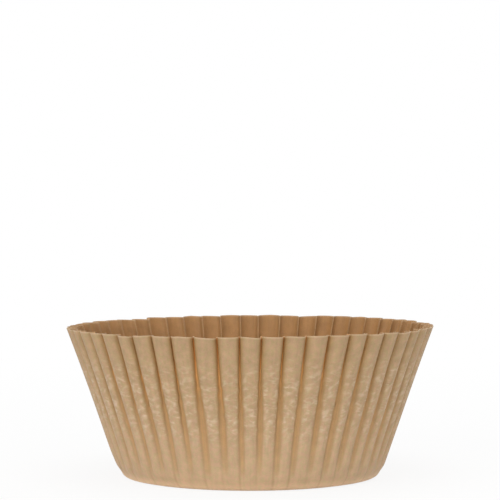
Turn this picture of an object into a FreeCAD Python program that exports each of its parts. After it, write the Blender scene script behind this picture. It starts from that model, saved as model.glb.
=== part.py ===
import FreeCAD, Part
import math
import os

Vector = FreeCAD.Vector

# Driving dimensions of the liner: millimetres, degrees, counts, and shares of a length named in the note.
SIZES = [
    ("pleat_count", 52, "pleats round the wall"),
    ("paper_thickness", 0.1, "greaseproof paper"),
    ("base_radius", 23.0, "flat disc of the base, up to where the wall starts to turn up"),
    ("corner_radius", 4.2, "turn from the base into the wall"),
    ("rim_radius", 36.5, "rim, measured to the faces of the flutes"),
    ("liner_height", 30.0, "from the table to the rim"),
    ("wall_bow", 0.1, "how far the wall hangs inside a straight line at its waist"),
    ("waist_share", 0.65, "height of the waist up the wall, as a share of the wall"),
    ("side_lean", 10.0, "lean of a flute's sides, so that a groove is wider at its mouth"),
    ("groove_share_base", 0.25, "floor of a groove at the base, as a share of the pleat pitch"),
    ("pinch_width", 0.14, "floor of a groove at the rim, pinched to a crease"),
    ("crease_depth", 0.1, "depth of a groove where it fades out in the base corner"),
    ("bevel_share", 0.4, "part of a flute's side that its bevelled corner takes up"),
]


def make_sheet(doc):
    """The spreadsheet of driving dimensions, one named cell for each."""
    sheet = doc.addObject("Spreadsheet::Sheet", "Dimensions")
    for row, (name, value, note) in enumerate(SIZES, start=1):
        sheet.set(f"A{row}", name)
        sheet.set(f"B{row}", str(value))
        sheet.set(f"C{row}", note)
        sheet.setAlias(f"B{row}", name)
    doc.recompute()
    return sheet


def wall_profile(sheet):
    """Stations up the wall, from the edge of the base disc to the rim.

    The base disc turns up through an arc, tangent to the disc and to the straight wall. The wall runs to
    the rim, drawn in a little at its waist. Each station is (radius, height, slope, along): slope is the
    angle of the paper from the vertical, and along is the length of paper from the centre of the base.
    """
    base, corner = sheet.base_radius, sheet.corner_radius
    run, rise = sheet.rim_radius - base, sheet.liner_height - corner
    slope = math.atan2(run, rise) - math.asin(corner / math.hypot(run, rise))

    stations = []
    for share in (0.0, 1 / 3, 2 / 3, 1.0):
        turn = share * (math.pi / 2 - slope)
        radius = base + corner * math.sin(turn)
        height = corner * (1 - math.cos(turn))
        stations.append((radius, height, math.pi / 2 - turn, base + corner * turn))

    foot_radius, foot_height, _, foot_along = stations[-1]
    wall = math.hypot(sheet.rim_radius - foot_radius, sheet.liner_height - foot_height)
    waist = sheet.waist_share * wall
    waist_radius = foot_radius + waist * math.sin(slope) - sheet.wall_bow * math.cos(slope)
    waist_height = foot_height + waist * math.cos(slope) + sheet.wall_bow * math.sin(slope)
    stations.append((waist_radius, waist_height, slope, foot_along + waist))
    stations.append((sheet.rim_radius, sheet.liner_height, slope, foot_along + wall))
    return stations


def turned(point, angle):
    """A point of the plane turned about the liner's axis."""
    cos, sin = math.cos(angle), math.sin(angle)
    return (point[0] * cos - point[1] * sin, point[0] * sin + point[1] * cos)


def moved(point, direction, length):
    """A point of the plane moved along a direction."""
    return (point[0] + length * direction[0], point[1] + length * direction[1])


def crossing(point_a, direction_a, point_b, direction_b):
    """Where two lines in the plane cross."""
    cross = direction_a[0] * direction_b[1] - direction_a[1] * direction_b[0]
    gap = (point_b[0] - point_a[0], point_b[1] - point_a[1])
    return moved(point_a, direction_a, (gap[0] * direction_b[1] - gap[1] * direction_b[0]) / cross)


def side_length(sheet, pitch, blank_pitch, turn):
    """Length of a flute's side that takes up the paper to spare.

    The liner is pressed from a flat round blank, so at the same distance along the paper the blank's
    pitch is longer than the pitch of the wall. The spare paper stands in the two sides of each flute.
    A side turned by the angle turn from the face takes up its own length less what it spans round the
    wall, and the bevelled corner gives back a share of it.
    """
    bevel_saving = sheet.bevel_share * 2 * (1 - math.cos(turn / 2) / math.cos(turn / 6))
    taken_up = 1 - math.cos(turn) - bevel_saving
    return max((blank_pitch - pitch) / 2 / taken_up, sheet.crease_depth)


def level_gap(sheet, facing, slope, at_rim):
    """Distance, measured level, between the outer and inner outline of a face that leans with the wall.

    facing is the share of the face's level normal that points along the radius: 1 on the face of a flute
    and near 0 on its sides. Below the rim the inner outline is also lifted by the paper's thickness times
    the sine of the slope, which shortens the level gap.
    """
    cos, sin = math.cos(slope), math.sin(slope)
    tilt = math.hypot(cos, facing * sin)
    if at_rim:
        return sheet.paper_thickness * tilt / cos
    return sheet.paper_thickness * cos * (1 + (facing * sin) ** 2) / (tilt + facing * sin ** 2)


def flute_ring(sheet, station, climb, inner):
    """The points of one closed outline round the liner, at a station of the wall.

    Half a flute is drawn in the plane, with the radius along x: half of its flat face, a corner bevelled
    in two facets that share the turn equally, its side, and half of the groove's floor. The half is
    mirrored and repeated round the axis. climb is the station's share of the way from base to rim.
    The inner outline has each line moved inward by the paper's thickness.
    """
    radius, height, slope, along = station
    at_rim = climb == 1
    count = int(sheet.pleat_count)
    half_pitch = math.pi / count
    pitch = 2 * math.pi * radius / count
    turn = math.radians(90 - sheet.side_lean)
    side = side_length(sheet, pitch, 2 * math.pi * along / count, turn)
    groove_base = sheet.groove_share_base * pitch
    half_floor = (groove_base + climb * (sheet.pinch_width - groove_base)) / 2

    across = (0, 1)
    down_side = turned(across, turn)
    along_floor = turned(across, half_pitch)
    floor_middle = turned((radius - side * math.sin(turn), 0), half_pitch)
    fold = moved(floor_middle, along_floor, -half_floor)
    face_level = (radius, 0)
    if inner:
        face_gap = level_gap(sheet, 1, slope, at_rim)
        side_gap = level_gap(sheet, down_side[1], slope, at_rim)
        face_level = (radius - face_gap, 0)
        floor_middle = moved(floor_middle, turned((1, 0), half_pitch), -face_gap)
        fold = moved(fold, turned(down_side, math.pi / 2), side_gap)
        height = height if at_rim else height + sheet.paper_thickness * math.sin(slope)
    corner = crossing(face_level, across, fold, down_side)
    fold = crossing(floor_middle, along_floor, corner, down_side)

    cut = sheet.bevel_share * math.dist(corner, fold)
    facet = cut * math.cos(turn / 2) / math.cos(turn / 6)
    face_end = moved(corner, across, -cut)
    bevel = moved(face_end, turned(across, turn / 3), facet)
    side_start = moved(corner, down_side, cut)
    half = [face_end, bevel, side_start, fold]
    flute = [(x, -y) for x, y in reversed(half)] + half

    ring = []
    for index in range(count):
        for point in flute:
            x, y = turned(point, 2 * half_pitch * index)
            ring.append(Vector(x, y, height))
    return ring


def paper_rings(sheet, inner):
    """The rings of the outer or the inner face of the paper, from the edge of the base disc to the rim."""
    stations = wall_profile(sheet)
    edge, rim = stations[0][3], stations[-1][3]
    return [flute_ring(sheet, station, (station[3] - edge) / (rim - edge), inner) for station in stations]


def closed_line(points):
    """A closed line through the points of a ring."""
    return Part.makePolygon(points + points[:1])


def flat_facets(rings):
    """The flat facets of the folded paper between each ring and the next.

    A line of a ring is parallel to the same line of the next ring, so each facet is a plane trapezium.
    """
    facets = []
    for lower, upper in zip(rings, rings[1:]):
        for index in range(len(lower)):
            corners = [lower[index - 1], lower[index], upper[index], upper[index - 1]]
            facets.append(Part.Face(closed_line(corners)))
    return facets


def make_liner(doc, sheet):
    """The pleated cup, one folded sheet: its two faces, their base discs, and the cut edge at the rim."""
    outer, inner = paper_rings(sheet, inner=False), paper_rings(sheet, inner=True)
    hole = closed_line(inner[-1])
    hole.reverse()
    faces = flat_facets(outer) + flat_facets(inner)
    faces += [Part.Face(closed_line(outer[0])), Part.Face(closed_line(inner[0]))]
    faces.append(Part.Face([closed_line(outer[-1]), hole]))
    shell = Part.makeShell(faces)
    shell.sewShape()

    liner = doc.addObject("Part::Feature", "Liner")
    liner.Shape = Part.Solid(shell)
    liner.Label = "liner"
    return liner


def check_document(doc, nodes):
    """Stop if any object failed or a node's solid isn't whole."""
    for item in doc.Objects:
        if "Invalid" in item.State or "Error" in item.State:
            raise RuntimeError(f"{item.Label} did not build: {item.State}")
    for node in nodes:
        if node.Shape.isNull() or not node.Shape.isValid():
            raise RuntimeError(f"{node.Label} is not a sound solid")


def main():
    doc = FreeCAD.newDocument("CupcakeLiner")
    sheet = make_sheet(doc)
    nodes = [make_liner(doc, sheet)]
    doc.recompute()
    check_document(doc, nodes)
    os.makedirs("parts", exist_ok=True)
    for node in nodes:
        node.Shape.exportStep(f"parts/{node.Label}.step")
        box = node.Shape.BoundBox
        print(f"{node.Label}: {node.Shape.Volume:.1f} mm3, {len(node.Shape.Faces)} faces, "
              f"{box.XLength:.2f} x {box.YLength:.2f} x {box.ZLength:.2f} mm")


main()
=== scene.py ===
import math

import bpy
import numpy as np
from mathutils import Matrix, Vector


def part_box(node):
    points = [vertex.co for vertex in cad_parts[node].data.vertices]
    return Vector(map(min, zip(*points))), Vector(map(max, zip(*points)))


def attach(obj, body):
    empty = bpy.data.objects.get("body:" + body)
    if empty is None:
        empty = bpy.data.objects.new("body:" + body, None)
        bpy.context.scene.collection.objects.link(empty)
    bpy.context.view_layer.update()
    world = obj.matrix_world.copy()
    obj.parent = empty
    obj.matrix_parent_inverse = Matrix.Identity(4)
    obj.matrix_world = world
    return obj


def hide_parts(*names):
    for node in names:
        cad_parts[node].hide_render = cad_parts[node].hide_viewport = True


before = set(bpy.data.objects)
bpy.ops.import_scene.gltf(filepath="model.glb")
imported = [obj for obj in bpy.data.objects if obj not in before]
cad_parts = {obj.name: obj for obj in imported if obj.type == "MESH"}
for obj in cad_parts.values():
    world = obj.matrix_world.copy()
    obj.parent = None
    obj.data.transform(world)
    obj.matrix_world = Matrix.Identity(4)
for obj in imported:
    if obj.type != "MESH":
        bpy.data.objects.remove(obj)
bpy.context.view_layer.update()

MM = 0.001

# The liner: sizes of the pleated cup in metres, angles in radians.
liner_low, liner_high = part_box("liner")
RIM_RADIUS = (liner_high.x - liner_low.x) / 2
HEIGHT = liner_high.z
PLEATS = 52
PAPER = 0.1 * MM
BASE_RADIUS = 23.0 * MM
CORNER_RADIUS = 4.2 * MM
WALL_BOW = 0.1 * MM
WAIST_SHARE = 0.65

# A flute: its sides, its face, the groove beside it, and the rounding where the paper turns. The grooves
# are open low on the wall and pinched at the rim.
SIDE_TURN_BASE = math.radians(40)
SIDE_TURN_RIM = math.radians(87)
FACE_CROWN = 0.85 * MM
CRINKLED_AWAY = 0.25
FLOOR_SHARE = 0.20
PINCH_WIDTH = 0.12 * MM
GROOVE_LEAN = 0.2
RIGHT_CREST_OPEN = 0.30 * MM
RIGHT_CREST_PINCHED = 0.65 * MM
LEFT_CREST_OPEN = 0.90 * MM
LEFT_CREST_PINCHED = 0.28 * MM
FOLD_OPEN = 0.40 * MM
FOLD_PINCHED = 0.20 * MM
LINE_WIDTH = 0.26 * MM

# How unevenly the liner was pressed.
SEED = 7
PITCH_WANDER = 0.035
DEPTH_WANDER = 0.10
FACE_TILT = 0.14 * MM
FLOOR_WANDER = 0.22
CREST_WANDER = 0.20
RIM_WANDER = 0.09 * MM
CORNER_SAG = 0.25 * MM
CORNER_FULL = 0.9 * MM
RIM_SAG = 0.4 * MM
KINK = 0.14 * MM
KINK_SHORT = 0.42 * MM
KINK_LONG = 1.9 * MM
FADE_SLIP = 42
FADED_DEPTH = 0.35
FADED_COLOUR = 0.4
FADED_LINE = 0.65

# The grid of the sheet.
COLUMNS_PER_PLEAT = 20
DISC_ROWS = 4
CORNER_ROWS = 8
WALL_ROWS = 33
SPLITS = (0, 0.40, 0.68, 0.84, 1)
EVEN_SHARE = 0.15

# Camera: what the photograph's perspective gives.
CAMERA_DISTANCE = 408 * MM
CAMERA_HEIGHT = 54.5 * MM
SENSOR_WIDTH = 36
FOCAL_LENGTH_PX = 2048
HORIZON_PX = 201.5
FRAME_PX = 500

# Room, floor and lamps. A lamp has its name, place and two sides in metres, and its power in watts.
ROOM_LIGHT = 0.55
FLOOR_HALF = 3.0
FLOOR_DROP = 0.02 * MM
FLOOR_GREY = 0.92
FLOOR_WHITE_NEAR = 0.88
SHADOW_REACH = (0.06, 0.30)
LAMPS = (
    ("key", (-0.55, -0.78, 0.30), 0.7, 0.7, 3.45),
    ("fill", (0.70, -0.62, 0.22), 0.7, 0.7, 1.4),
    ("low", (-0.05, -0.90, 0.07), 1.0, 0.12, 1.25),
    ("back", (0.25, 0.85, 0.30), 0.9, 0.7, 2.0),
    ("top", (0.0, -0.15, 0.95), 0.8, 0.8, 3.0),
)


def smooth_step(x, low, high):
    """0 below low, 1 above high, and an S-shaped cubic between them."""
    t = np.clip((x - low) / (high - low), 0, 1)
    return t * t * (3 - 2 * t)


def rounded_ramp(x, reach):
    """0 for x under -reach, x over reach, and a parabola that joins the two between them."""
    return np.where(x > reach, x, np.clip(x + reach, 0, None) ** 2 / (4 * reach))


def wall_profile(along):
    """Radius, height and climb of the paper at a length along it from the centre of the base.

    The base is flat out to its radius. An arc turns it up into the wall, which is a straight line, tangent
    to the arc, that ends at the rim. The wall is drawn in by a sine that is largest at its waist. Climb
    runs from 0 at the edge of the base disc to 1 at the rim. The lengths along the paper at the wall's foot
    and at the rim come last.
    """
    run, rise = RIM_RADIUS - BASE_RADIUS, HEIGHT - CORNER_RADIUS
    slope = math.atan2(run, rise) - math.asin(CORNER_RADIUS / math.hypot(run, rise))
    full_turn = math.pi / 2 - slope
    foot = BASE_RADIUS + CORNER_RADIUS * full_turn
    foot_radius = BASE_RADIUS + CORNER_RADIUS * math.sin(full_turn)
    foot_height = CORNER_RADIUS * (1 - math.cos(full_turn))
    wall = math.hypot(RIM_RADIUS - foot_radius, HEIGHT - foot_height)

    turn = np.clip((along - BASE_RADIUS) / CORNER_RADIUS, 0, full_turn)
    up = np.clip(along - foot, 0, wall)
    bow = WALL_BOW * np.sin(math.pi * (up / wall) ** (math.log(0.5) / math.log(WAIST_SHARE)))
    radius = np.minimum(along, BASE_RADIUS) + CORNER_RADIUS * np.sin(turn) + up * math.sin(slope) - bow
    height = CORNER_RADIUS * (1 - np.cos(turn)) + up * math.cos(slope)
    climb = np.clip((along - BASE_RADIUS) / (foot + wall - BASE_RADIUS), 0, 1)
    return radius, height, climb, foot, foot + wall


def row_lengths():
    """Lengths along the paper of the grid's rows: few on the disc, more in the corner, most up the wall."""
    _, _, _, foot, rim = wall_profile(np.array([0.0]))
    return np.concatenate([
        np.linspace(0, BASE_RADIUS, DISC_ROWS, endpoint=False)[1:],
        np.linspace(BASE_RADIUS, foot, CORNER_ROWS, endpoint=False),
        np.linspace(foot, rim, WALL_ROWS),
    ])[:, None, None]


def wander(rng, climb, size):
    """One value for each pleat that drifts up the wall: a steady part and two slow waves of random phase."""
    steady = rng.normal(0, size, (PLEATS, 1))
    phase = rng.uniform(0, 2 * math.pi, (2, PLEATS, 1))
    return steady + 0.4 * size * (np.sin(2.2 * climb + phase[0]) + 0.5 * np.sin(5.1 * climb + phase[1]))


def flute_sizes(pitch, blank_pitch, climb):
    """Turn and length of a flute's sides, and the bulge of its face.

    The liner is pressed from a flat round blank, whose pitch is longer than the wall's. A side is as long
    as takes up half of the difference, less what the crinkles and the bulge take up. A side of length l,
    turned by an angle from the face, takes up l times one less the cosine of the angle.
    """
    turn = SIDE_TURN_BASE + (SIDE_TURN_RIM - SIDE_TURN_BASE) * smooth_step(climb, 0, 0.6)
    bulge = FACE_CROWN * (0.6 * smooth_step(climb, 0, 0.4) + 0.4 * smooth_step(climb, 0.5, 0.9))
    crinkled = CRINKLED_AWAY * (1 - smooth_step(climb, 0.75, 1.0))
    spare = (1 - crinkled) * (blank_pitch - pitch) - 8 / 3 * bulge ** 2 / pitch
    side = np.maximum(spare, 0) / 2 / (1 - np.cos(turn))
    return turn, side, bulge


def crowded_columns(face, side, fold, rounding, blank_pitch):
    """Places of half a pleat's columns, most of them where the paper turns.

    The marks are the middle of the face, both ends of the rounded crest, the start of the fold at the
    groove's floor and the middle of the floor. Each stretch between two marks has its own share of the
    columns, and a small part of each place is an even spread.
    """
    half = np.linspace(0, 1, COLUMNS_PER_PLEAT // 2 + 1)
    marks = [
        0 * face,
        face - rounding,
        face + 0.6 * rounding,
        face + side - 0.3 * fold,
        blank_pitch / 2 + 0 * face,
    ]
    marks = np.maximum.accumulate(np.clip(marks, 0, blank_pitch / 2))
    stops = sum(np.clip((half - start) / (stop - start), 0, 1) * (after - before)
                for start, stop, before, after in zip(SPLITS, SPLITS[1:], marks, marks[1:]))
    return (1 - EVEN_SHARE) * stops + EVEN_SHARE * half * blank_pitch / 2


def faded_grooves(w, climb):
    """How far the groove next to each point has faded: 0 high on the wall, and up to 1 at the base.

    Every second groove fades towards the base. Past one groove, right of the front, it is the other half.
    """
    number = (np.arange(PLEATS)[:, None] + (w > 0)) % PLEATS
    fades = (number + (number >= FADE_SLIP)) % 2 == 0
    return fades * (1 - smooth_step(climb, 0.05, 0.45))


def folded_sheet():
    """The outer face of the paper as a grid: rows up the paper, columns crowded at the creases.

    In one pleat, with w the length round the paper from the middle of the face, the paper's depth below the
    face is the side's rise times the sine of the side's turn. Its place across the pleat is w less the rise
    times one less the cosine of the turn. The rise is a rounded ramp that starts at the edge of the face,
    less one that starts at the edge of the floor. The face bulges by the square of the distance from its
    middle. Each groove leans to one side, and the two crests beside it are rounded differently. Half way
    up, where the paper crinkles, the grooves wobble. On the left the corner of the base is drawn in and the
    rim sags a little, and to both sides the start of the corner is a little fuller. Beside the points come
    the lengths along the paper, the place round the blank, how far a point lies in a groove (the face's
    edges next to it get a share too, for painted shade on the shoulders) and how near to a crease. Arrays
    run over rows, pleats and columns.
    """
    rng = np.random.default_rng(SEED)
    along = row_lengths()
    radius, height, climb, _, _ = wall_profile(along)

    pitch = 2 * math.pi * radius / PLEATS
    blank_pitch = 2 * math.pi * along / PLEATS
    turn, side, bulge = flute_sizes(pitch, blank_pitch, climb)
    opened = 1 - smooth_step(climb, 0.42, 0.90)
    groove = FLOOR_SHARE * pitch * opened * (1 + wander(rng, climb, FLOOR_WANDER)) + PINCH_WIDTH
    face = blank_pitch / 2 - side - groove / 2
    right_crest = RIGHT_CREST_PINCHED + (RIGHT_CREST_OPEN - RIGHT_CREST_PINCHED) * opened
    right_crest = right_crest * (1 + wander(rng, climb, CREST_WANDER))
    left_crest = LEFT_CREST_PINCHED + (LEFT_CREST_OPEN - LEFT_CREST_PINCHED) * opened
    left_crest = left_crest * (1 + wander(rng, climb, CREST_WANDER))
    fold = FOLD_PINCHED + (FOLD_OPEN - FOLD_PINCHED) * opened

    left_columns = crowded_columns(face, side, fold, left_crest, blank_pitch)
    right_columns = crowded_columns(face, side, fold, right_crest, blank_pitch)
    w = np.concatenate([-left_columns[:, :, :0:-1], right_columns[:, :, :-1]], axis=2)
    past_face = np.abs(w) - face
    rounding = np.where(w > 0, right_crest, left_crest)
    rise = np.clip(rounded_ramp(past_face, rounding) - rounded_ramp(past_face - side, fold), 0, side)
    depth = np.sin(turn) * rise
    across = np.sign(w) * (np.abs(w) - (1 - np.cos(turn)) * rise)
    across_share = across / np.maximum(2 * np.abs(across[:, :, :1]), 1e-9)
    across_share = across_share - GROOVE_LEAN * (depth - depth[:, :, :1]) / np.maximum(pitch, MM)
    out = np.clip(np.abs(w) / np.maximum(face, 1e-6), 0, 1)
    crown = bulge * out ** 2
    faded = faded_grooves(w, climb)

    edge = np.arange(PLEATS)[:, None] + wander(rng, climb, PITCH_WANDER)
    next_edge = np.concatenate([edge[:, 1:], edge[:, :1] + PLEATS], axis=1)
    place = edge + (across_share + 0.5) * (next_edge - edge)
    angle = 2 * math.pi * (place - 0.5) / PLEATS
    tilt = wander(rng, climb, FACE_TILT) * across_share * smooth_step(climb, 0, 0.4)
    crinkles = smooth_step(climb, 0.35, 0.5) * (1 - smooth_step(climb, 0.65, 0.85))
    phase = rng.uniform(0, 2 * math.pi, (2, PLEATS, 1))
    wobble = np.sin(along / KINK_SHORT + phase[0]) * np.sin(along / KINK_LONG + phase[1])
    angle = angle + KINK / radius * wobble * crinkles * out ** 4

    leftward = (0.5 - 0.5 * np.cos(angle)) ** 2
    sag = CORNER_SAG * leftward * smooth_step(climb, 0, 0.08) * (1 - smooth_step(climb, 0.1, 0.25))
    sideways = np.cos(angle) ** 2
    fullness = CORNER_FULL * sideways * smooth_step(climb, 0, 0.03) * (1 - smooth_step(climb, 0.03, 0.11))
    dip = depth * (1 + wander(rng, climb, DEPTH_WANDER)) * (1 - FADED_DEPTH * faded)
    reach = radius - dip - crown - tilt - sag + fullness
    slant = wander(rng, climb, RIM_WANDER) + 2 * across_share * wander(rng, climb, RIM_WANDER)
    level = height - np.abs(slant) * smooth_step(climb, 0.8, 1)
    level = level - RIM_SAG * leftward * smooth_step(climb, 0.4, 1)
    points = np.stack([reach * np.cos(angle), reach * np.sin(angle), level], axis=-1)

    # How far a point lies in a groove, which deepens the groove's colour: partly the paper's own colour and
    # partly painted shade. The face's edges next to a groove get a share as well, as painted shade on the
    # rounded shoulders.
    sunk = rise / np.maximum(side, 1e-6) * smooth_step(side, 0.02 * MM, 0.3 * MM)
    groove_and_shade = 0.4 * out ** 3 * smooth_step(climb, 0.1, 0.6) + 0.6 * sunk ** 2
    groove_and_shade = groove_and_shade * (1 - FADED_COLOUR * faded)
    line = np.exp(-((past_face - side / 2) / LINE_WIDTH) ** 2) * smooth_step(climb, 0.01, 0.06)
    line = line * np.where(w > 0, 1.0, 0.2 + 0.3 * smooth_step(climb, 0.1, 0.3)) * (1 - FADED_LINE * faded)
    share = (np.arange(PLEATS)[:, None] + 0.5 + w / blank_pitch) / PLEATS

    grid = (len(along), PLEATS * COLUMNS_PER_PLEAT)
    share, groove_and_shade, line = (values.reshape(grid) for values in (share, groove_and_shade, line))
    return points.reshape(*grid, 3), along.ravel(), share, groove_and_shade, line


def grid_normals(points):
    """Unit normals of a grid that closes on itself along its columns: the cross product of its slopes."""
    round_slope = np.roll(points, -1, axis=1) - np.roll(points, 1, axis=1)
    up_slope = np.gradient(points, axis=0)
    normal = np.cross(round_slope, up_slope)
    return normal / np.linalg.norm(normal, axis=-1, keepdims=True)


def sheet_faces(rows, columns):
    """The quads and the two fans of the closed sheet, and the numbers of the outer face's rim points.

    Points are numbered row by row, first the outer face, then the inner face, then the two centres.
    """
    sheet = rows * columns
    column = np.arange(columns)
    following = (column + 1) % columns
    row = np.arange(rows - 1)[:, None]
    low, low_next = row * columns + column, row * columns + following
    outer = np.stack([low, low_next, low_next + columns, low + columns], axis=-1).reshape(-1, 4)
    rim, rim_next = (rows - 1) * columns + column, (rows - 1) * columns + following
    cut_edge = np.stack([rim, rim_next, rim_next + sheet, rim + sheet], axis=-1)
    quads = np.concatenate([outer, outer[:, ::-1] + sheet, cut_edge])
    outer_fan = np.stack([following, column, np.full(columns, 2 * sheet)], axis=-1)
    inner_fan = np.stack([column + sheet, following + sheet, np.full(columns, 2 * sheet + 1)], axis=-1)
    return quads, np.concatenate([outer_fan, inner_fan]), rim


def add_maps(mesh, share, length, quad_count):
    """Two maps that follow the paper, from each point's place round the blank and length along the paper.

    Blank is its place on the flat round blank, and wall is the angle round the blank and the length along
    it. A quad that crosses the seam has its early places moved on by a whole turn.
    """
    corner = np.empty(len(mesh.loops), np.int32)
    mesh.loops.foreach_get("vertex_index", corner)
    share, length = share[corner], length[corner]
    in_quads = quad_count * 4
    quad_share = share[:in_quads].reshape(-1, 4)
    wraps = np.ptp(quad_share, axis=1, keepdims=True) > 0.5
    share[:in_quads] = np.where(wraps & (quad_share < 0.5), quad_share + 1, quad_share).ravel()
    blank = np.stack([0.5 + 0.5 * length * np.cos(2 * math.pi * share),
                      0.5 + 0.5 * length * np.sin(2 * math.pi * share)], axis=-1)
    mesh.uv_layers.new(name="blank").data.foreach_set("uv", blank.ravel())
    wall = np.stack([share, length], axis=-1)
    mesh.uv_layers.new(name="wall").data.foreach_set("uv", wall.ravel())


def paper_liner():
    """The sheet as one closed mesh: outer face, inner face moved in by the paper's thickness, cut edge.

    Each face closes at the centre of the base in a fan. Four attributes say how far a point lies in a
    groove (with the face's edges next to it, for painted shade), how near to a crease, how far up the paper,
    and whether it is on the inner face.
    """
    outer, along, share, groove_and_shade, line = folded_sheet()
    inner = outer - PAPER * grid_normals(outer)
    inner[-1, :, 2] = outer[-1, :, 2]
    rows, columns = groove_and_shade.shape
    sheet = rows * columns
    centres = np.array([[0, 0, 0], [0, 0, PAPER]])
    vertices = np.concatenate([outer.reshape(-1, 3), inner.reshape(-1, 3), centres])
    quads, fans, rim = sheet_faces(rows, columns)

    mesh = bpy.data.meshes.new("paper_liner")
    mesh.from_pydata(vertices, [], quads.tolist() + fans.tolist())
    mesh.polygons.foreach_set("use_smooth", np.ones(len(mesh.polygons), bool))
    ends = np.empty(len(mesh.edges) * 2, np.int32)
    mesh.edges.foreach_get("vertices", ends)
    on_rim = np.zeros(len(vertices), bool)
    on_rim[rim] = on_rim[rim + sheet] = True
    mesh.edges.foreach_set("use_edge_sharp", on_rim[ends.reshape(-1, 2)].all(axis=1))

    def both_faces(values):
        """Values of the outer face's points, repeated for the inner face, with 0 at the two centres."""
        return np.concatenate([np.tile(values.ravel(), 2), [0, 0]])

    paper_radius = along[-1]
    length = both_faces(np.repeat(along, columns)) / paper_radius
    add_maps(mesh, both_faces(share), length, len(quads))
    per_point = {
        "groove": both_faces(groove_and_shade),
        "crease": both_faces(line),
        "climb": length,
        "face": np.concatenate([np.repeat([0.0, 1.0], sheet), [0, 1]]),
    }
    for name, values in per_point.items():
        mesh.attributes.new(name, "FLOAT", "POINT").data.foreach_set("value", values.astype(np.float32))
    mesh.validate()
    piece = bpy.data.objects.new("paper_liner", mesh)
    bpy.context.scene.collection.objects.link(piece)
    return piece, paper_radius


class Value:
    """A number that varies over a surface. Sums, differences and products of such numbers add Math nodes."""

    def __init__(self, shader, socket):
        self.shader, self.socket = shader, socket

    def _math(self, operation, first, second):
        return self.shader.node("ShaderNodeMath", {"operation": operation}, {0: first, 1: second})

    def __add__(self, other):
        return self._math("ADD", self, other)

    def __radd__(self, other):
        return self._math("ADD", other, self)

    def __sub__(self, other):
        return self._math("SUBTRACT", self, other)

    def __rsub__(self, other):
        return self._math("SUBTRACT", other, self)

    def __mul__(self, other):
        return self._math("MULTIPLY", self, other)

    def __rmul__(self, other):
        return self._math("MULTIPLY", other, self)

    def distance_to(self, level):
        """How far the number is from a level, with no sign."""
        return self.shader.node("ShaderNodeMath", {"operation": "ABSOLUTE"}, {0: self - level})

    def step(self, low, high):
        """0 at low, 1 at high and an S-shaped curve between them. High may be the lower of the two."""
        return self.shader.node("ShaderNodeMapRange", {"interpolation_type": "SMOOTHSTEP"},
                                {"Value": self, "From Min": low, "From Max": high})


class Shader:
    """The nodes of a material or a world, and the one method that adds to them."""

    def __init__(self, owner):
        self.owner = owner
        owner.use_nodes = True
        self.tree = owner.node_tree

    def node(self, kind, settings, inputs, output=0):
        """Adds a node. Settings are its own properties, inputs its sockets' numbers, colours or links."""
        made = self.tree.nodes.new(kind)
        for name, setting in settings.items():
            setattr(made, name, setting)
        self.fill(made, inputs)
        return Value(self, made.outputs[output])

    def fill(self, made, inputs):
        """Gives the sockets of a node their numbers, colours or links."""
        for name, value in inputs.items():
            if isinstance(value, Value):
                self.tree.links.new(value.socket, made.inputs[name])
            else:
                made.inputs[name].default_value = value

    def mix(self, factor, first, second):
        """A colour that is the first where factor is 0 and the second where it is 1."""
        settings = {"data_type": "RGBA", "clamp_factor": True}
        return self.node("ShaderNodeMix", settings, {0: factor, 6: first, 7: second}, output=2)

    def lay(self, place, length, width, turn=0.0):
        """Coordinates for a pattern whose features have a length and a width, and lie at an angle."""
        inputs = {"Vector": place, "Rotation": (0, 0, turn), "Scale": (length, width, 1)}
        return self.node("ShaderNodeMapping", {"vector_type": "TEXTURE"}, inputs)

    def noise(self, place, scale, detail, distortion=0.0):
        """Fractal noise around 0.5 whose features are one over scale wide."""
        settings = {"noise_dimensions": "3D"}
        inputs = {"Vector": place, "Scale": scale, "Detail": detail, "Distortion": distortion}
        return self.node("ShaderNodeTexNoise", settings, inputs)

    def attribute(self, name):
        """A number kept at each point of the mesh."""
        return self.node("ShaderNodeAttribute", {"attribute_name": name}, {}, output="Fac")

    def white_to_the_eye(self, lit, share):
        """Mixes a share of plain white into what camera, glossy and transmission rays see of a surface."""
        kinds = [self.node("ShaderNodeLightPath", {}, {}, output=name)
                 for name in ("Is Camera Ray", "Is Glossy Ray", "Is Transmission Ray")]
        white = self.node("ShaderNodeEmission", {}, {"Color": (1, 1, 1, 1), "Strength": 1.0})
        return self.node("ShaderNodeMixShader", {}, {0: sum(kinds[1:], kinds[0]) * share, 1: lit, 2: white})


def srgb(red, green, blue):
    """A colour picked in display values of 0 to 255, as the linear colour that a shader takes."""
    def linear(value):
        value = value / 255
        return value / 12.92 if value <= 0.04045 else ((value + 0.055) / 1.055) ** 2.4
    return (linear(red), linear(green), linear(blue), 1)


BASE_TAN = srgb(194, 166, 133)
RIM_TAN = srgb(196, 162, 119)
PINK_TAN = srgb(206, 161, 131)
GREEN_TAN = srgb(185, 165, 117)
GROOVE_TONE_AND_SHADE_ORANGE = srgb(197, 142, 80)
CREASE_SHADE_OLIVE = srgb(178, 143, 92)
FOLD_SHADE_BROWN = srgb(146, 110, 66)
WEAR_AND_LIGHT_PALE = srgb(226, 206, 182)
EDGE_PALE = srgb(218, 192, 158)

# Marks up the paper, as shares of the way from the centre of the base to the rim.
DISC_EDGE = 0.405
RUBBED_HALF = 0.008
RUBBED_CORE = 0.002

# The paper's finish.
ROUGHNESS = 0.58
ROUGHNESS_OF_FIBRES = 0.25
GLOSS = 0.35
BUMP_STRENGTH = 0.7
BUMP_HEIGHT = 0.03 * MM
FACE_GAP = 40


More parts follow.
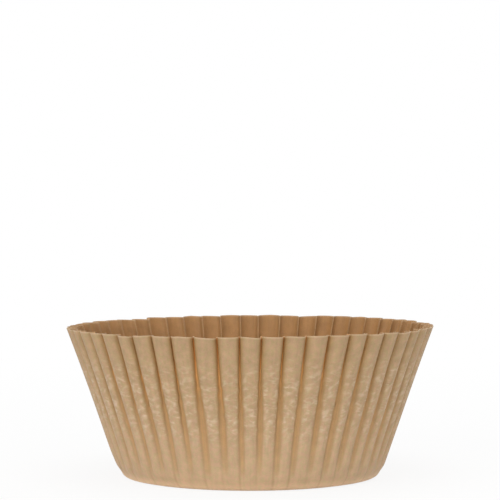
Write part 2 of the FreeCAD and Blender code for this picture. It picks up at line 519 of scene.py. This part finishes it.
def kraft_paper(paper_radius):
    """Unbleached greaseproof paper: mottled, fibrous, crinkled on the flutes and deeper in the grooves.

    The patterns are in millimetres of the flat blank, so that they follow the paper through its folds. The
    inner face reads them at another depth. The deeper colour in the grooves is partly the paper's own and
    partly painted shade, and the face beside each crease carries a painted olive shade; low on the wall a
    darker line along each crease is painted shade too. The wall is painted darker towards the rim, and the
    inner face is painted darker and warmer, as shade. Near the rim the creases are painted lighter, as light
    in the folds. Half way up the wall are crinkles, raised in the bump, with painted pale highlights. The
    corner that turns under is painted paler, as light from the floor, and the inner face is rubbed pale
    where the disc ends.
    """
    shader = Shader(bpy.data.materials.new("kraft_paper"))
    face, groove, line, climb = (shader.attribute(name) for name in ("face", "groove", "crease", "climb"))
    blank = shader.node("ShaderNodeUVMap", {"uv_map": "blank"}, {})
    wall = shader.node("ShaderNodeUVMap", {"uv_map": "wall"}, {})
    width = 2 * paper_radius / MM
    side = shader.node("ShaderNodeCombineXYZ", {}, {"Z": face * FACE_GAP})
    flat = shader.node("ShaderNodeVectorMath", {"operation": "MULTIPLY_ADD"},
                       {0: blank, 1: (width, width, 0), 2: side})
    around = shader.node("ShaderNodeVectorMath", {"operation": "MULTIPLY_ADD"},
                         {0: wall, 1: (math.pi * 0.75 * width, paper_radius / MM, 0), 2: side})
    outside = 1 - face
    on_wall = climb.step(0.40, 0.50)

    cloud = shader.noise(flat, 0.45, 3.0)
    hue = shader.noise(flat, 1.3, 2.0)
    grain = shader.noise(flat, 3.5, 3.0)
    fibre = sum(shader.noise(shader.lay(flat, 2.0, 0.27, turn), 1.0, 2.0, 0.6) for turn in (0.5, 1.9))
    streak = 0.5 + (shader.noise(shader.lay(around, 0.6, 8.0), 1.0, 2.0, 0.4) - 0.5) * on_wall
    pleat_line = shader.noise(shader.lay(around, 0.3, 7.0), 1.0, 1.0)

    # Crinkles half way up the wall. They are raised in the bump; their pale colour below is a painted
    # highlight.
    dash = shader.noise(shader.lay(around, 1.6, 0.5, -0.2), 1.0, 1.5, 0.25).step(0.50, 0.72)
    smudge = shader.noise(shader.lay(around, 1.8, 1.1, 0.4), 1.0, 1.5, 0.3).step(0.46, 0.72)
    patch = shader.noise(around, 0.4, 1.0).step(0.35, 0.6)
    band = climb.step(0.56, 0.70) * climb.step(0.97, 0.80)
    crinkle_and_highlight = (0.8 * dash * patch + 0.7 * smudge) * band * (1 - groove.step(0.05, 0.4)) * (1 - 0.8 * face)

    colour = shader.mix(climb.step(0.45, 0.95), BASE_TAN, RIM_TAN)
    colour = shader.mix(0.45, colour, shader.mix(hue.step(0.35, 0.65), PINK_TAN, GREEN_TAN))
    # Painted shade: an olive shade on the face beside each crease, stronger towards the rim.
    beside = groove.step(0.03, 0.3) * outside * on_wall
    colour = shader.mix(beside * (0.42 + 0.28 * climb.step(0.6, 0.85)), colour, CREASE_SHADE_OLIVE)
    # The grooves' deeper orange: partly the paper's own colour in the folds and partly painted shade,
    # strongest towards the rim.
    groove_tone_and_shade = groove.step(0.2, 0.8) * (0.34 + 0.58 * climb.step(0.68, 0.98)) * (2.0 * pleat_line)
    # Painted shade: the inner face is mixed towards the orange, warmer and deeper, as in the shade inside
    # the cup.
    painted_inner_shade = 0.45 + 0.35 * (1 - groove) * on_wall
    colour = shader.mix(groove_tone_and_shade * outside + painted_inner_shade * face, colour, GROOVE_TONE_AND_SHADE_ORANGE)
    # Painted shade: a darker brown line along each crease, low on the wall.
    painted_fold_shade = line * (0.05 + 0.5 * streak) * (1 - 0.9 * climb.step(0.55, 0.70))
    colour = shader.mix(painted_fold_shade, colour, FOLD_SHADE_BROWN)

    # Painted light: the corner that turns under, facing the floor, is made paler and brighter, as if lit
    # from the floor.
    painted_floor_light = climb.step(0.485, 0.42) * climb.step(0.37, 0.41) * outside
    # Painted light: the creases near the rim are made brighter, as light bounced into the folds.
    painted_crease_light = groove.step(0.4, 0.9) * (0.50 * climb.step(0.76, 0.92) + 0.01) * outside
    shade = 0.61 + 0.28 * cloud + 0.16 * grain + 0.06 * fibre + 0.16 * streak
    # Painted shade: the wall is made darker towards the rim.
    shade = shade - 0.15 * climb.step(0.42, 0.75) - 0.09 * climb.step(0.6, 1.0)
    # Painted light on the corner that turns under, and painted shade on the inner face.
    shade = shade + 0.66 * painted_floor_light - 0.05 * face
    shade = shade + painted_crease_light + 0.25 * (pleat_line - 0.5) * groove.step(0.2, 0.6)
    colour = shader.node("ShaderNodeVectorMath", {"operation": "SCALE"}, {0: colour, "Scale": shade})
    rubbed = climb.distance_to(DISC_EDGE).step(RUBBED_HALF, RUBBED_CORE) * grain.step(0.45, 0.65) * face
    # Pale mix: painted highlights on the crinkles, the ring rubbed pale where the disc ends, and painted
    # light on the corner that turns under.
    colour = shader.mix(crinkle_and_highlight * 0.34 + rubbed * 0.3 + 0.25 * painted_floor_light, colour, WEAR_AND_LIGHT_PALE)
    colour = shader.mix(climb.step(0.993, 0.999) * 0.35, colour, EDGE_PALE)

    relief = 0.35 * grain + 0.5 * fibre + 0.5 * cloud + 0.5 * crinkle_and_highlight - 0.4 * line
    bump = shader.node("ShaderNodeBump", {},
                       {"Strength": BUMP_STRENGTH, "Distance": BUMP_HEIGHT, "Height": relief})
    shader.fill(shader.tree.nodes["Principled BSDF"], {
        "Base Color": colour,
        "Roughness": ROUGHNESS + ROUGHNESS_OF_FIBRES * (fibre - 1),
        "Normal": bump,
        "Specular IOR Level": GLOSS,
    })
    return shader.owner


def white_room():
    """A white surround that lights the liner softly and looks plain white."""
    room = Shader(bpy.data.worlds.new("white_room"))
    bpy.context.scene.world = room.owner
    lit = room.node("ShaderNodeBackground", {}, {"Color": (1, 1, 1, 1), "Strength": ROOM_LIGHT})
    room.fill(room.tree.nodes["World Output"], {"Surface": room.white_to_the_eye(lit, 1.0)})


def pale_floor():
    """A pale floor just under the liner. It keeps the soft shadow and goes plain white far from it."""
    mesh = bpy.data.meshes.new("floor")
    corners = [(x * FLOOR_HALF, y * FLOOR_HALF, 0) for x, y in ((-1, -1), (1, -1), (1, 1), (-1, 1))]
    mesh.from_pydata(corners, [], [(0, 1, 2, 3)])
    floor = bpy.data.objects.new("floor", mesh)
    floor.location.z = -FLOOR_DROP
    bpy.context.scene.collection.objects.link(floor)
    paint = Shader(bpy.data.materials.new("pale_floor"))
    grey = (FLOOR_GREY, FLOOR_GREY, FLOOR_GREY, 1)
    lit = paint.node("ShaderNodeBsdfDiffuse", {}, {"Color": grey})
    place = paint.node("ShaderNodeTexCoord", {}, {}, output="Object")
    away = paint.node("ShaderNodeVectorMath", {"operation": "LENGTH"}, {0: place}, output="Value")
    share = FLOOR_WHITE_NEAR + (1 - FLOOR_WHITE_NEAR) * away.step(*SHADOW_REACH)
    paint.fill(paint.tree.nodes["Material Output"], {"Surface": paint.white_to_the_eye(lit, share)})
    mesh.materials.append(paint.owner)


def soft_lamps():
    """Five soft lamps, each a rectangle aimed at the middle of the liner."""
    for name, place, width, height, power in LAMPS:
        lamp = bpy.data.lights.new(name, "AREA")
        lamp.shape = "RECTANGLE"
        lamp.size, lamp.size_y = width, height
        lamp.energy = power
        holder = bpy.data.objects.new(name, lamp)
        holder.location = place
        aim = Vector((0, 0, HEIGHT / 2)) - Vector(place)
        holder.rotation_euler = aim.to_track_quat("-Z", "Y").to_euler()
        bpy.context.scene.collection.objects.link(holder)


def camera():
    """A long lens in front of the liner and a little above it, tilted down to the photograph's horizon."""
    data = bpy.data.cameras.new("camera")
    data.sensor_width = SENSOR_WIDTH
    data.lens = FOCAL_LENGTH_PX / FRAME_PX * data.sensor_width
    data.clip_start, data.clip_end = 0.01, 20
    holder = bpy.data.objects.new("camera", data)
    holder.location = (0, -CAMERA_DISTANCE, CAMERA_HEIGHT)
    pitch = math.atan((FRAME_PX / 2 - HORIZON_PX) / FOCAL_LENGTH_PX)
    holder.rotation_euler = (math.pi / 2 - pitch, 0, 0)
    bpy.context.scene.collection.objects.link(holder)
    bpy.context.scene.camera = holder


camera()
white_room()
pale_floor()
soft_lamps()
liner, paper_radius = paper_liner()
liner.data.materials.append(kraft_paper(paper_radius))
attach(liner, "root")
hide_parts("liner")
bpy.context.scene.view_settings.view_transform = "Standard"
